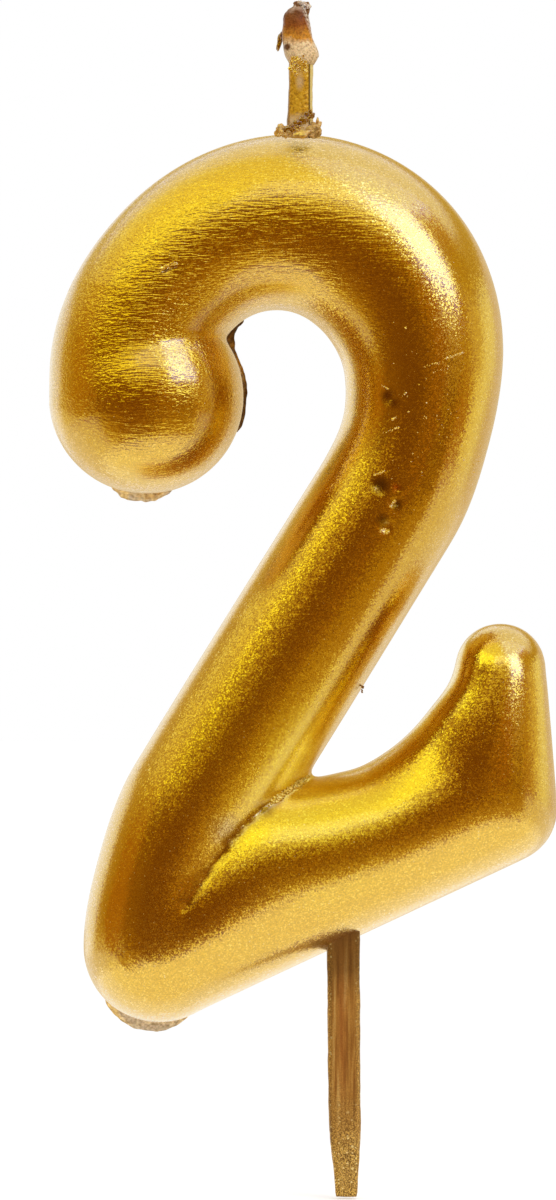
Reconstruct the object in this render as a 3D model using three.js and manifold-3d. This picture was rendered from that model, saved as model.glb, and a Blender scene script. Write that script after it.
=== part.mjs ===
// A cake candle in the shape of a two: a solid wax digit, cast in an open mould so that its front is domed
// and its back is flat. It is cast round a plaited cotton wick, whose waxed top stands out of the crown, and
// round a flat pick that goes into the cake.
// Millimetres. +X is the digit's right as it is read, +Y points away from the reader and +Z is up.
// The origin is on the pick's middle line, level with the lowest wax, where the icing's surface comes.
import * as THREE from "three";
import { mergeVertices } from "three/addons/utils/BufferGeometryUtils.js";
import Module from "manifold-3d";

const wasm = await Module();
wasm.setup();

// Middle line of the long stroke, from the heel up and over the crown to the ball
const HEEL_TO_PICK = 14.4; // from the heel's centre across to the pick's middle line
const HEEL_BEND_RADIUS = 21;
const SLANT = 31.8; // degrees that the diagonal leans from upright
const DIAGONAL_LENGTH = 27.3;
const SHOULDER_RADIUS = 20.3;
const UPPER_SHOULDER_RADIUS = 12.5;
const UPPER_SHOULDER_BEND = 30; // degrees
const CROWN_RADIUS = 10.5;
const HOOK_RADIUS = 11.1;
const HOOK_TUCK = 13; // degrees that the hook curls in past straight down

// Half-widths of the long stroke
const BALL_RADIUS = 7.6;
const HOOK_END_INNER = 5.6; // half-widths of the hook where it runs into the ball
const HOOK_END_OUTER = 7.4;
const NECK_HALF = 6.3;
const CROWN_HALF = 7.05;
const WAIST_HALF = 5.8;
const DIAGONAL_HALF = 5.95;
const HEEL_RADIUS = 5.9;
const HEEL_NECK_HALF = 5.65; // half-way round the bend above the heel
const CROWN_HOLDS = 40; // degrees down to the right over which the crown keeps its width

// Short stroke along the bottom, with its raised toe
const FOOT_RISE = 25; // degrees that the foot climbs to the right
const FOOT_LENGTH = 18.75; // straight part, from the heel's centre
const FOOT_HALF = 5.85;
const CROTCH_FROM_HEEL = 15.6; // along the foot, to where its top leaves the long stroke
const CROTCH_HALF = 6.8; // from the middle line to the top there
const TOE_BEND_RADIUS = 16.6;
const TOE_BEND = 56; // degrees
const TOE_LENGTH = 1.35; // straight part, up to the toe tip's centre
const TOE_BEND_FROM_HALF = 6.25; // from the middle line to the inside, where the bend starts
const TOE_BEND_HALF = 5.35; // the same half-way round it
const TOE_ROOT_HALF = 3.85; // the same at its end
const TOE_TIP_RADIUS = 3.5;
const TOE_EDGE_LEAN = 5; // degrees that the toe's outer edge spreads outward going down
const TOE_CORNER_RADIUS = 4.2;

// Section of the strokes: a flat back with a rounded edge, upright sides, and a domed front
const BACK = 5; // from the pick's middle plane to the flat back
const BACK_EDGE_RADIUS = 0.8;
const BALL_DEPTH = 11.2; // each depth is from the flat back to the front
const HOOK_END_DEPTH = 8.9;
const NECK_DEPTH = 9.4;
const CROWN_DEPTH = 10.2;
const STROKE_DEPTH = 10;
const TOE_DEPTH = 8.2;
const UPRIGHT_SHARE = 0.33; // of the depth, over which the sides stand upright
const DOME_SIDE = 2.15; // 2 makes a round dome, and more makes steeper sides
const DOME_TOP = 2.05; // 2 makes a round dome, and more makes a flatter top

// Ragged flash left along the edge of the back, where the mould overflowed
const FLASH_THICKNESS = 0.7;
const HEEL_FLASH_WIDTH = 8;
const HEEL_FLASH_PROUD = 0.7;
const BALL_FLASH_WIDTH = 3;
const BALL_FLASH_PROUD = 0.5;
const BALL_SIDE_FLASH_WIDTH = 9;
const BALL_SIDE_FLASH_PROUD = 0.25;

// Wick: three plaited cotton strands, a wax sleeve, a bead at the tip and a collar at the foot
const WICK_OFF_CROWN = 1.25; // to the right of the crown's highest point
const WICK_EXPOSED = 9.9;
const WICK_BEND_RADIUS = 3.5;
const WICK_STOPS_SHORT = 18; // before the heel's centre
const STRAND_DIAMETER = 0.44;
const STRAND_GAP = 0.05; // added to each strand's swing, so that the three keep clear
const PLAIT_PITCH = 4.6; // along the wick, for one strand to cross over and come back
const SLEEVE_WIDTH = 2.04;
const SLEEVE_WALL = 0.2;
const SLEEVE_LENGTH = 4.8;
const BEAD_WIDTH = 2.95;
const BEAD_LENGTH = 4.5;
const TIP_LENGTH = 0.5; // of bare strands above the bead
const COLLAR_WIDTH = 3.8;
const COLLAR_HEIGHT = 1.3;
const WICK_GAP = 0.12; // between the wick and each thing that surrounds it

// Pick
const PICK_WIDTH = 2.6;
const PICK_THICKNESS = 1.9;
const PICK_IN_CAKE = 12.7;
const PICK_IN_WAX = 9.5;
const PICK_TAPER_LENGTH = 6;
const PICK_TIP_WIDTH = 1.8;
const PICK_CORNER = 0.25; // radius at the tip's corners
const PICK_EDGE = 0.3; // rounding along the pick's edges
const PICK_GAP = 0.2; // between the pick and the wax round it

// Fineness of the facets
const DOME_SIDES = 16;
const BALL_SIDES = 36;
const BACK_STOPS = [-1, -0.96, -0.84, 0, 0.84, 0.96, 1]; // shares of the half-width
const STATION_SPACING = 1.9;
const CAP_RINGS = 5;
const STRAND_SIDES = 6;
const STRAND_STEPS_PER_PITCH = 12;
const WICK_HOLE_SPACING = 1;

const rad = THREE.MathUtils.degToRad;

// A middle line in the plane of the digit, drawn by a pen that goes ahead or turns. x is X and y is Z.
class Pen {
  constructor(x, z, heading) {
    this.at = new THREE.Vector2(x, z);
    this.heading = rad(heading);
    this.line = new THREE.CurvePath();
    this.marks = {};
  }

  mark(name) {
    this.marks[name] = this.line.curves.length ? this.line.getLength() : 0;
    return this;
  }

  ahead(length) {
    const end = this.at.clone().add(fromAngle(this.heading, length));
    this.line.add(new THREE.LineCurve(this.at, end));
    this.at = end;
    this.line.updateArcLengths();
    return this;
  }

  // Degrees are positive to the left.
  turn(radius, degrees) {
    const side = Math.sign(degrees);
    const centre = this.at.clone().add(fromAngle(this.heading + (side * Math.PI) / 2, radius));
    const from = this.heading - (side * Math.PI) / 2;
    const to = from + rad(degrees);
    const arc = new THREE.EllipseCurve(centre.x, centre.y, radius, radius, from, to, side < 0);
    this.line.add(arc);
    this.lastCentre = centre;
    this.at = centre.clone().add(fromAngle(to, radius));
    this.heading += rad(degrees);
    this.line.updateArcLengths();
    return this;
  }
}

function fromAngle(angle, length) {
  return new THREE.Vector2(Math.cos(angle), Math.sin(angle)).multiplyScalar(length);
}

// Where a middle line is at a distance along it, with its heading and its right-hand side.
function stationAt(line, distance) {
  const length = line.getLength();
  const share = THREE.MathUtils.clamp(distance / length, 0, 1);
  const at = line.getPoint(share);
  const ahead = line.getTangent(share);
  return { at, ahead, right: new THREE.Vector2(ahead.y, -ahead.x) };
}

// A smooth curve through stops, each a distance with its value. It is level at both ends.
function eased(stops, distance) {
  const next = stops.findIndex(([d]) => d >= distance);
  if (next === 0) return stops[0][1];
  if (next < 0) return stops.at(-1)[1];
  const slopeAt = (k) => {
    if (k === 0 || k === stops.length - 1) return 0;
    return (stops[k + 1][1] - stops[k - 1][1]) / (stops[k + 1][0] - stops[k - 1][0]);
  };
  const [d0, v0] = stops[next - 1];
  const [d1, v1] = stops[next];
  const span = d1 - d0;
  const t = (distance - d0) / span;
  const fromValues = v0 * (1 + 2 * t) * (1 - t) ** 2 + v1 * (3 - 2 * t) * t * t;
  return fromValues + span * t * (1 - t) * (slopeAt(next - 1) * (1 - t) - slopeAt(next) * t);
}

// One closed skin over rings that all have as many points, with a fan to a point at each end.
function skin(firstTip, rings, lastTip) {
  const sides = rings[0].length;
  const points = [firstTip, ...rings.flat(), lastTip];
  const last = points.length - 1;
  const faces = [];
  for (let k = 0; k < sides; k++) {
    const next = (k + 1) % sides;
    faces.push(0, 1 + next, 1 + k);
    for (let r = 0; r < rings.length - 1; r++) {
      const a = 1 + r * sides;
      const b = a + sides;
      faces.push(a + k, a + next, b + k, a + next, b + next, b + k);
    }
    faces.push(last, last - sides + k, last - sides + next);
  }
  const geometry = new THREE.BufferGeometry().setFromPoints(points);
  geometry.setIndex(faces);
  return geometry;
}

// How far forward the dome stands, and how far back the rounded back edge goes, at a share of the way
// from the middle line to the side.
function domeY(share, depth) {
  const lift = Math.max(0, 1 - share ** DOME_SIDE) ** (1 / DOME_TOP);
  return BACK - depth * (UPRIGHT_SHARE + (1 - UPRIGHT_SHARE) * lift);
}

function backY(share, half) {
  const intoEdge = share * half - (half - BACK_EDGE_RADIUS);
  if (intoEdge <= 0) return BACK;
  return BACK - BACK_EDGE_RADIUS + Math.sqrt(Math.max(0, BACK_EDGE_RADIUS ** 2 - intoEdge ** 2));
}

// A stroke of wax along a middle line. sectionAt(distance) gives its left and right half-widths and its
// depth there. Each end is half of a round dome about the line's end point.
function strokeGeometry(line, sectionAt, grow = 0) {
  const length = line.getLength();
  const steps = Math.ceil(length / STATION_SPACING);
  const sectionGrown = (distance) => {
    const { left, right, depth } = sectionAt(distance);
    return { left: left + grow, right: right + grow, depth: depth + grow };
  };
  // past is how far beyond the line's end the ring lies, as a share of the half-width there.
  const ringAt = (distance, past) => {
    const station = stationAt(line, distance);
    const section = sectionGrown(distance);
    const width = Math.sqrt(1 - past ** 2);
    const pointAt = (across, front) => {
      const reach = across > 0 ? section.right : section.left;
      const share = Math.min(1, Math.hypot(across * width, past));
      const y = front ? domeY(share, section.depth) : backY(share, reach);
      const at = station.at
        .clone()
        .addScaledVector(station.ahead, past * reach)
        .addScaledVector(station.right, across * width * reach);
      return new THREE.Vector3(at.x, y, at.y);
    };
    const ring = [];
    for (let k = 0; k <= DOME_SIDES; k++) {
      ring.push(pointAt(-Math.cos((Math.PI * k) / DOME_SIDES), true));
    }
    for (const stop of BACK_STOPS) ring.push(pointAt(-stop, false));
    return ring;
  };
  const tipAt = (distance, way) => {
    const station = stationAt(line, distance);
    const at = station.at.clone().addScaledVector(station.ahead, way * sectionGrown(distance).left);
    return new THREE.Vector3(at.x, BACK - BACK_EDGE_RADIUS, at.y);
  };
  const rings = [];
  const capShare = (k) => Math.sin(((Math.PI / 2) * k) / CAP_RINGS);
  for (let k = CAP_RINGS - 1; k > 0; k--) rings.push(ringAt(0, -capShare(k)));
  for (let k = 0; k <= steps; k++) rings.push(ringAt((length * k) / steps, 0));
  for (let k = 1; k < CAP_RINGS; k++) rings.push(ringAt(length, capShare(k)));
  return skin(tipAt(0, -1), rings, tipAt(length, 1));
}

// Solids for cutting and joining, and back again
function solid(geometry) {
  const bare = geometry.index ? geometry.toNonIndexed() : geometry.clone();
  bare.deleteAttribute("normal");
  bare.deleteAttribute("uv");
  const merged = mergeVertices(bare, 1e-4);
  return new wasm.Manifold(
    new wasm.Mesh({
      numProp: 3,
      vertProperties: new Float32Array(merged.attributes.position.array),
      triVerts: new Uint32Array(merged.index.array),
    }),
  );
}

function geometryOf(manifold) {
  const mesh = manifold.getMesh();
  const positions = new Float32Array(mesh.vertProperties);
  const geometry = new THREE.BufferGeometry()
    .setAttribute("position", new THREE.BufferAttribute(positions, mesh.numProp))
    .setIndex(new THREE.BufferAttribute(new Uint32Array(mesh.triVerts), 1));
  geometry.computeVertexNormals();
  return geometry;
}

// Long stroke
const heel = new THREE.Vector2(-HEEL_TO_PICK, HEEL_RADIUS + HEEL_FLASH_PROUD);
const longPen = new Pen(heel.x, heel.y, 90)
  .mark("heel")
  .turn(HEEL_BEND_RADIUS, -SLANT)
  .mark("diagonalFoot")
  .ahead(DIAGONAL_LENGTH)
  .mark("diagonalTop")
  .turn(SHOULDER_RADIUS, SLANT)
  .mark("shoulder")
  .turn(UPPER_SHOULDER_RADIUS, UPPER_SHOULDER_BEND)
  .turn(CROWN_RADIUS, 90 - UPPER_SHOULDER_BEND)
  .mark("crown");
const crownCentre = longPen.lastCentre;
longPen.turn(HOOK_RADIUS, 90 + HOOK_TUCK).mark("ball");
const ball = longPen.at.clone();
const longMarks = longPen.marks;
const neckMark = THREE.MathUtils.lerp(longMarks.crown, longMarks.ball, 0.53);
const waistMark = longMarks.shoulder - SHOULDER_RADIUS * rad(10);

const longHalf = [
  [longMarks.heel, HEEL_RADIUS],
  [(longMarks.heel + longMarks.diagonalFoot) / 2, HEEL_NECK_HALF],
  [longMarks.diagonalFoot, DIAGONAL_HALF],
  [longMarks.diagonalTop, DIAGONAL_HALF],
  [waistMark, WAIST_HALF],
  [longMarks.crown - CROWN_RADIUS * rad(CROWN_HOLDS), CROWN_HALF],
  [longMarks.crown, CROWN_HALF],
  [neckMark, NECK_HALF],
];
const longInner = [...longHalf, [longMarks.ball, HOOK_END_INNER]];
const longOuter = [...longHalf, [longMarks.ball, HOOK_END_OUTER]];
const longDepth = [
  [longMarks.heel, STROKE_DEPTH],
  [longMarks.shoulder, STROKE_DEPTH],
  [longMarks.crown, CROWN_DEPTH],
  [neckMark, NECK_DEPTH],
  [longMarks.ball, HOOK_END_DEPTH],
];

function longSection(distance) {
  return {
    left: eased(longInner, distance),
    right: eased(longOuter, distance),
    depth: eased(longDepth, distance),
  };
}

// The ball at the hook's end: the section turned all the way round, about an axis that runs front to back.
function ballGeometry() {
  const profile = [new THREE.Vector2(0, BACK)];
  for (const share of [0.84, 0.96, 1]) {
    profile.push(new THREE.Vector2(share * BALL_RADIUS, backY(share, BALL_RADIUS)));
  }
  for (let k = DOME_SIDES / 2; k >= 0; k--) {
    const share = Math.sin((Math.PI * k) / DOME_SIDES);
    profile.push(new THREE.Vector2(share * BALL_RADIUS, domeY(share, BALL_DEPTH)));
  }
  return new THREE.LatheGeometry(profile.reverse(), BALL_SIDES).translate(ball.x, 0, ball.y);
}

// Short stroke. Its outer side follows the straight underside, the rounded corner and the toe's edge.
const footPen = new Pen(heel.x, heel.y, FOOT_RISE)
  .mark("heel")
  .ahead(FOOT_LENGTH)
  .mark("bend")
  .turn(TOE_BEND_RADIUS, TOE_BEND)
  .mark("toe")
  .ahead(TOE_LENGTH)
  .mark("tip");
const footMarks = footPen.marks;
const toeTip = footPen.at.clone();
const underside = { out: fromAngle(rad(FOOT_RISE - 90), 1), along: fromAngle(rad(FOOT_RISE), 1) };
underside.reach = heel.dot(underside.out) + FOOT_HALF;
const toeEdge = { out: fromAngle(rad(TOE_EDGE_LEAN), 1), along: fromAngle(rad(TOE_EDGE_LEAN - 90), 1) };
toeEdge.reach = toeTip.dot(toeEdge.out) + TOE_TIP_RADIUS;
const toeCorner = meeting(underside, toeEdge, TOE_CORNER_RADIUS);

// The point that lies a given distance inside two edges.
function meeting(first, second, inside) {
  const a = first.reach - inside;
  const b = second.reach - inside;
  const cross = first.out.cross(second.out);
  const x = (a * second.out.y - b * first.out.y) / cross;
  const y = (b * first.out.x - a * second.out.x) / cross;
  return new THREE.Vector2(x, y);
}

// How far the foot's wax reaches from a point of its middle line towards its outer side.
function reachOutward(at, direction) {
  const distances = [underside, toeEdge].map((edge) => {
    const slope = direction.dot(edge.out);
    return slope > 0.05 ? (edge.reach - at.dot(edge.out)) / slope : Infinity;
  });
  const nearest = Math.min(...distances);
  const edge = distances[0] < distances[1] ? underside : toeEdge;
  const hit = at.clone().addScaledVector(direction, nearest);
  if (hit.clone().sub(toeCorner).dot(edge.along) <= 0) return nearest;
  const toCentre = toeCorner.clone().sub(at);
  const along = toCentre.dot(direction);
  return along + Math.sqrt(along ** 2 - toCentre.lengthSq() + TOE_CORNER_RADIUS ** 2);
}

const footInner = [
  [footMarks.heel, FOOT_HALF],
  [CROTCH_FROM_HEEL, CROTCH_HALF],
  [footMarks.bend, TOE_BEND_FROM_HALF],
  [(footMarks.bend + footMarks.toe) / 2, TOE_BEND_HALF],
  [footMarks.toe, TOE_ROOT_HALF],
  [footMarks.tip, TOE_TIP_RADIUS],
];
const footDepth = [
  [footMarks.heel, STROKE_DEPTH],
  [footMarks.bend, STROKE_DEPTH],
  [footMarks.tip, TOE_DEPTH],
];

function footSection(distance) {
  const station = stationAt(footPen.line, distance);
  return {
    left: eased(footInner, distance),
    right: reachOutward(station.at, station.right),
    depth: eased(footDepth, distance),
  };
}

// The wick's middle line: straight down through the crown, round a small bend, and then along the long
// stroke's middle line towards the heel.
const wickX = crownCentre.x + WICK_OFF_CROWN;
const bendOffset = WICK_OFF_CROWN + WICK_BEND_RADIUS;
const bendCentre = new THREE.Vector2(
  wickX + WICK_BEND_RADIUS,
  crownCentre.y + Math.sqrt((CROWN_RADIUS + WICK_BEND_RADIUS) ** 2 - bendOffset ** 2),
);
const bendSweep = Math.acos(bendOffset / (CROWN_RADIUS + WICK_BEND_RADIUS));
const crownTop = crownCentre.y + CROWN_RADIUS + CROWN_HALF;
const wickTop = crownTop + WICK_EXPOSED;

class WickRoute extends THREE.Curve {
  constructor() {
    super();
    this.straight = wickTop - bendCentre.y;
    this.bend = WICK_BEND_RADIUS * bendSweep;
    this.joins = longMarks.crown - CROWN_RADIUS * (Math.PI / 2 - bendSweep);
    this.total = this.straight + this.bend + this.joins - WICK_STOPS_SHORT;
  }

  getPoint(share, target = new THREE.Vector3()) {
    const distance = share * this.total;
    const round = distance - this.straight;
    if (round <= 0) return target.set(wickX, 0, wickTop - distance);
    if (round <= this.bend) {
      const turned = fromAngle(Math.PI + round / WICK_BEND_RADIUS, WICK_BEND_RADIUS);
      return target.set(bendCentre.x + turned.x, 0, bendCentre.y + turned.y);
    }
    const { at } = stationAt(longPen.line, this.joins - (round - this.bend));
    return target.set(at.x, 0, at.y);
  }
}

const wickRoute = new WickRoute();

// One strand of a three-strand plait: it swings across once while it goes front to back twice.
const plaitSwing = STRAND_DIAMETER + STRAND_GAP;
const plaitThrow = 0.83 * plaitSwing;

class Strand extends THREE.Curve {
  constructor(number) {
    super();
    this.phase = (2 * Math.PI * number) / 3;
    this.arcLengthDivisions = 900;
  }

  getPoint(share, target = new THREE.Vector3()) {
    const middle = wickRoute.getPoint(share);
    const ahead = wickRoute.getTangent(share);
    const turned = (2 * Math.PI * share * wickRoute.total) / PLAIT_PITCH + this.phase;
    const across = new THREE.Vector3(ahead.z, 0, -ahead.x);
    target.copy(middle).addScaledVector(across, plaitSwing * Math.sin(turned));
    target.y += plaitThrow * Math.sin(2 * turned);
    return target;
  }
}

// A stretch of the wick's middle line between two distances from its tip.
class WickStretch extends THREE.Curve {
  constructor(from, to) {
    super();
    this.from = from / wickRoute.total;
    this.to = to / wickRoute.total;
  }

  getPoint(share, target = new THREE.Vector3()) {
    return wickRoute.getPoint(THREE.MathUtils.lerp(this.from, this.to, share), target);
  }
}

// An oval whose x is the wick's depth and whose y is its width, as a sweep lays it out.
function oval(width, depth, hole) {
  const shape = new THREE.Shape().absellipse(0, 0, depth / 2, width / 2, 0, 2 * Math.PI);
  if (hole) shape.holes.push(oval(hole.width, hole.depth));
  return shape;
}

function sweep(shape, path, steps, sides) {
  return new THREE.ExtrudeGeometry(shape, { extrudePath: path, steps, curveSegments: sides / 2 });
}

const plaitWidth = 2 * plaitSwing + STRAND_DIAMETER;
const plaitDepth = 2 * plaitThrow + STRAND_DIAMETER;
const plaitHole = { width: plaitWidth + 2 * WICK_GAP, depth: plaitDepth + 2 * WICK_GAP };
const sleeveWidth = Math.max(SLEEVE_WIDTH, plaitHole.width + 2 * SLEEVE_WALL);
const sleeveDepth = plaitHole.depth + 2 * SLEEVE_WALL;

function wickStrand(number) {
  const steps = Math.round((wickRoute.total / PLAIT_PITCH) * STRAND_STEPS_PER_PITCH);
  return sweep(oval(STRAND_DIAMETER, STRAND_DIAMETER), new Strand(number), steps, STRAND_SIDES);
}

// What rests on the wax is cut to its curve, with a gap.
function clearOfWax(geometry) {
  return geometryOf(solid(geometry).subtract(solid(strokeGeometry(longPen.line, longSection, WICK_GAP))));
}

function wickSleeve() {
  const path = new WickStretch(WICK_EXPOSED - SLEEVE_LENGTH, WICK_EXPOSED + CROWN_HALF / 5);
  return clearOfWax(sweep(oval(sleeveWidth, sleeveDepth, plaitHole), path, 1, 24));
}

// Turned pieces stand on the wick's line, with radii scaled front to back as the plait is.
function turnedOnWick(profile, z, lobes = 0) {
  const points = profile.map(([r, h]) => new THREE.Vector2(r, h));
  const geometry = new THREE.LatheGeometry([...points, points[0]], 16);
  const positions = geometry.attributes.position;
  for (let k = 0; k < positions.count; k++) {
    const around = Math.atan2(positions.getZ(k), positions.getX(k));
    const swell = 1 + lobes * Math.sin(3 * around) * Math.cos(2 * around);
    positions.setX(k, positions.getX(k) * swell);
    positions.setZ(k, positions.getZ(k) * swell);
  }
  return geometry.rotateX(Math.PI / 2).translate(wickX, 0, z);
}

function wickBead() {
  const bottom = wickTop - TIP_LENGTH - BEAD_LENGTH;
  const r = BEAD_WIDTH / 2;
  const profile = [
    [0.1, 0],
    [r * 0.68, 0],
    [r * 0.94, BEAD_LENGTH * 0.1],
    [r, BEAD_LENGTH * 0.22],
    [r * 0.97, BEAD_LENGTH * 0.34],
    [r * 0.87, BEAD_LENGTH * 0.45],
    [r * 0.86, BEAD_LENGTH * 0.76],
    [r * 0.82, BEAD_LENGTH * 0.88],
    [r * 0.68, BEAD_LENGTH],
    [0.1, BEAD_LENGTH],
  ];
  const stretch = new WickStretch(0, TIP_LENGTH + BEAD_LENGTH + WICK_GAP);
  const hole = sweep(oval(plaitHole.width, plaitHole.depth), stretch, 1, 16);
  return geometryOf(solid(turnedOnWick(profile, bottom)).subtract(solid(hole)));
}

function wickCollar() {
  const inner = sleeveWidth / 2 + WICK_GAP;
  const outer = COLLAR_WIDTH / 2;
  const profile = [
    [inner, -outer],
    [outer * 0.9, -outer],
    [outer, 0],
    [outer * 0.88, COLLAR_HEIGHT * 0.5],
    [(inner + outer) / 2, COLLAR_HEIGHT],
    [inner, COLLAR_HEIGHT * 0.9],
  ];
  return clearOfWax(turnedOnWick(profile, crownTop, 0.05));
}

// Pick: its front outline, drawn from the tip up, thickened and with its long edges rounded
function pickOutline(grow) {
  const half = PICK_WIDTH / 2 - PICK_EDGE + grow;
  const tip = PICK_TIP_WIDTH / 2 - PICK_EDGE + grow;
  const bottom = -PICK_IN_CAKE + PICK_EDGE - grow;
  const top = pickTop() - PICK_EDGE + grow;
  const corner = Math.min(PICK_CORNER, tip * 0.9);
  const shape = new THREE.Shape();
  shape.moveTo(-tip + corner, bottom);
  shape.lineTo(tip - corner, bottom);
  shape.quadraticCurveTo(tip, bottom, tip + (half - tip) * 0.05, bottom + corner);
  shape.lineTo(half, bottom + PICK_TAPER_LENGTH);
  shape.lineTo(half, top);
  shape.lineTo(-half, top);
  shape.lineTo(-half, bottom + PICK_TAPER_LENGTH);
  shape.lineTo(-tip - (half - tip) * 0.05, bottom + corner);
  shape.quadraticCurveTo(-tip, bottom, -tip + corner, bottom);
  return shape;
}

// The underside of the foot at the pick is where the pick leaves the wax.
function pickTop() {
  const underWax = underside.reach / underside.out.y;
  return underWax + PICK_IN_WAX;
}

function pickGeometry(grow = 0) {
  const depth = PICK_THICKNESS - 2 * PICK_EDGE + 2 * grow;
  return new THREE.ExtrudeGeometry(pickOutline(grow), {
    depth,
    bevelSize: PICK_EDGE,
    bevelThickness: PICK_EDGE,
    bevelSegments: 2,
    curveSegments: 3,
  })
    .translate(0, 0, -depth / 2)
    .rotateX(Math.PI / 2);
}

// A tongue of flash against the back plane. It stands proud of a round end at an angle round it.
function flash(centre, radius, degrees, width, proud) {
  const angle = rad(degrees);
  const middle = radius + proud - width / 2;
  const reach = Math.max(width / 2, radius / 2);
  return new THREE.CylinderGeometry(width / 2, width / 2, FLASH_THICKNESS, 20)
    .scale(1, 1, Math.min(1, (2 * reach) / width))
    .translate(0, BACK - FLASH_THICKNESS / 2, 0)
    .translate(middle, 0, 0)
    .rotateY(-angle)
    .translate(centre.x, 0, centre.y);
}

function waxDigit() {
  const added = [
    ballGeometry(),
    strokeGeometry(footPen.line, footSection),
    flash(heel, HEEL_RADIUS, -110, HEEL_FLASH_WIDTH, HEEL_FLASH_PROUD),
    flash(ball, BALL_RADIUS, -90, BALL_FLASH_WIDTH, BALL_FLASH_PROUD),
    flash(ball, BALL_RADIUS, 14, BALL_SIDE_FLASH_WIDTH, BALL_SIDE_FLASH_PROUD),
  ];
  const wickHole = new WickStretch(0, wickRoute.total + 2 * WICK_GAP);
  const wickSteps = Math.round(wickRoute.total / WICK_HOLE_SPACING);
  const cut = [sweep(oval(plaitHole.width, plaitHole.depth), wickHole, wickSteps, 12), pickGeometry(PICK_GAP)];
  let wax = solid(strokeGeometry(longPen.line, longSection));
  for (const geometry of added) wax = wax.add(solid(geometry));
  for (const geometry of cut) wax = wax.subtract(solid(geometry));
  return geometryOf(wax);
}

// Finishes
const goldLacquer = new THREE.MeshStandardMaterial({ color: 0xd7a02c, roughness: 0.34, metalness: 0.9 });
const gildedWood = new THREE.MeshStandardMaterial({ color: 0xa0692c, roughness: 0.45, metalness: 0.4 });
const cotton = new THREE.MeshStandardMaterial({ color: 0x9c6a34, roughness: 0.9, metalness: 0 });
const paleWax = new THREE.MeshStandardMaterial({ color: 0xe6d3b0, roughness: 0.4, metalness: 0 });
const flakedGold = new THREE.MeshStandardMaterial({ color: 0xb07a26, roughness: 0.5, metalness: 0.6 });

function piece(name, geometry, material) {
  const mesh = new THREE.Mesh(geometry, material);
  mesh.name = name;
  return mesh;
}

const candle = new THREE.Group();
candle.name = "number_candle";
candle.add(piece("wax_digit", waxDigit(), goldLacquer));
candle.add(piece("pick", pickGeometry(), gildedWood));
for (const number of [1, 2, 3]) {
  candle.add(piece(`wick_strand_${number}`, wickStrand(number), cotton));
}
candle.add(piece("wick_sleeve", wickSleeve(), goldLacquer));
candle.add(piece("wick_tip_bead", wickBead(), paleWax));
candle.add(piece("wick_collar", wickCollar(), flakedGold));

export default candle;
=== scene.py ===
# %% [markdown]
# # A gold number candle
# The object is a birthday candle in the shape of a two. Wax is cast round a wick and a flat wooden pick
# in an open mould, and then sprayed with a gold lacquer that is full of fine flake. Nothing on it moves.
# This lesson builds the wax, the wick and the pick as separate pieces around a fixed frame of solids,
# and then gives each one its finish. Sizes are written in millimetres, and MM turns them into metres.

# %% Load the frame
import math
import random

import bmesh
import bpy
from mathutils import Matrix, Vector, noise


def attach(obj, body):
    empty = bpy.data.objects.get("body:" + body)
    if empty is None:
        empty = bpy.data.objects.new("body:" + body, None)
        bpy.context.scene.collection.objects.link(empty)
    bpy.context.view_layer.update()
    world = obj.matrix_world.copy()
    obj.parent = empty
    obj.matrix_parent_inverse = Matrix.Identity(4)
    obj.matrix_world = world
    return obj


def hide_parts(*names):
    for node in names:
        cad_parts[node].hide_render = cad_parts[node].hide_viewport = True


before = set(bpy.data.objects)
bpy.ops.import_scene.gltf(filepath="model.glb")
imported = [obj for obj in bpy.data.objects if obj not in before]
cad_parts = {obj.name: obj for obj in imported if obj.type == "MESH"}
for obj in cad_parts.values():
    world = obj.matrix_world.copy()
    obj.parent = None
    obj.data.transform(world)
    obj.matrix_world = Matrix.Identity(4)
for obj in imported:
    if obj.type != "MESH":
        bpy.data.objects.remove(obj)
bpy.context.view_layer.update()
MM = 0.001


# %% [markdown]
# ## Camera
# A long lens a good way off keeps the two flat to the picture, as in a product photograph. The field of
# view is set from the height that the picture covers at the candle, so the candle fills the frame.

# %% Camera
PICTURE_CENTRE = Vector((-5.13, 0, 33.62)) * MM
PICTURE_HEIGHT = 93.24 * MM
CAMERA_DISTANCE = 0.62

camera = bpy.data.objects.new("camera", bpy.data.cameras.new("camera"))
bpy.context.collection.objects.link(camera)
camera.location = PICTURE_CENTRE + Vector((0, -CAMERA_DISTANCE, 0))
camera.rotation_euler = (math.pi / 2, 0, 0)
camera.data.sensor_fit = "VERTICAL"
camera.data.sensor_height = 24
camera.data.lens = 24 * CAMERA_DISTANCE / PICTURE_HEIGHT
camera.data.clip_start = 0.01
bpy.context.scene.camera = camera
print("lens in mm:", round(camera.data.lens, 1))

# %% [markdown]
# ## Studio
# Lacquered metal shows its surroundings, so the studio is most of the look. It is white behind the
# candle and under it. Bent cards go round the camera's side: the darkest, a little to the left, draws the
# brown band down the middle of each stroke, and browner and tawnier ones beside it shade the rest. A
# pale cool card overhead on the right gives the cream shoulder, and a straw-coloured one on the left
# gives the yellow band. Gold gives back little blue, so the pale cards glow strongly in it. The cards
# show only in reflections, and a plain white lamp and the white room light the wax and the wood.

# %% Surroundings
world = bpy.data.worlds.new("studio")
bpy.context.scene.world = world
bpy.context.scene.view_settings.view_transform = "Standard"
world.use_nodes = True


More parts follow.
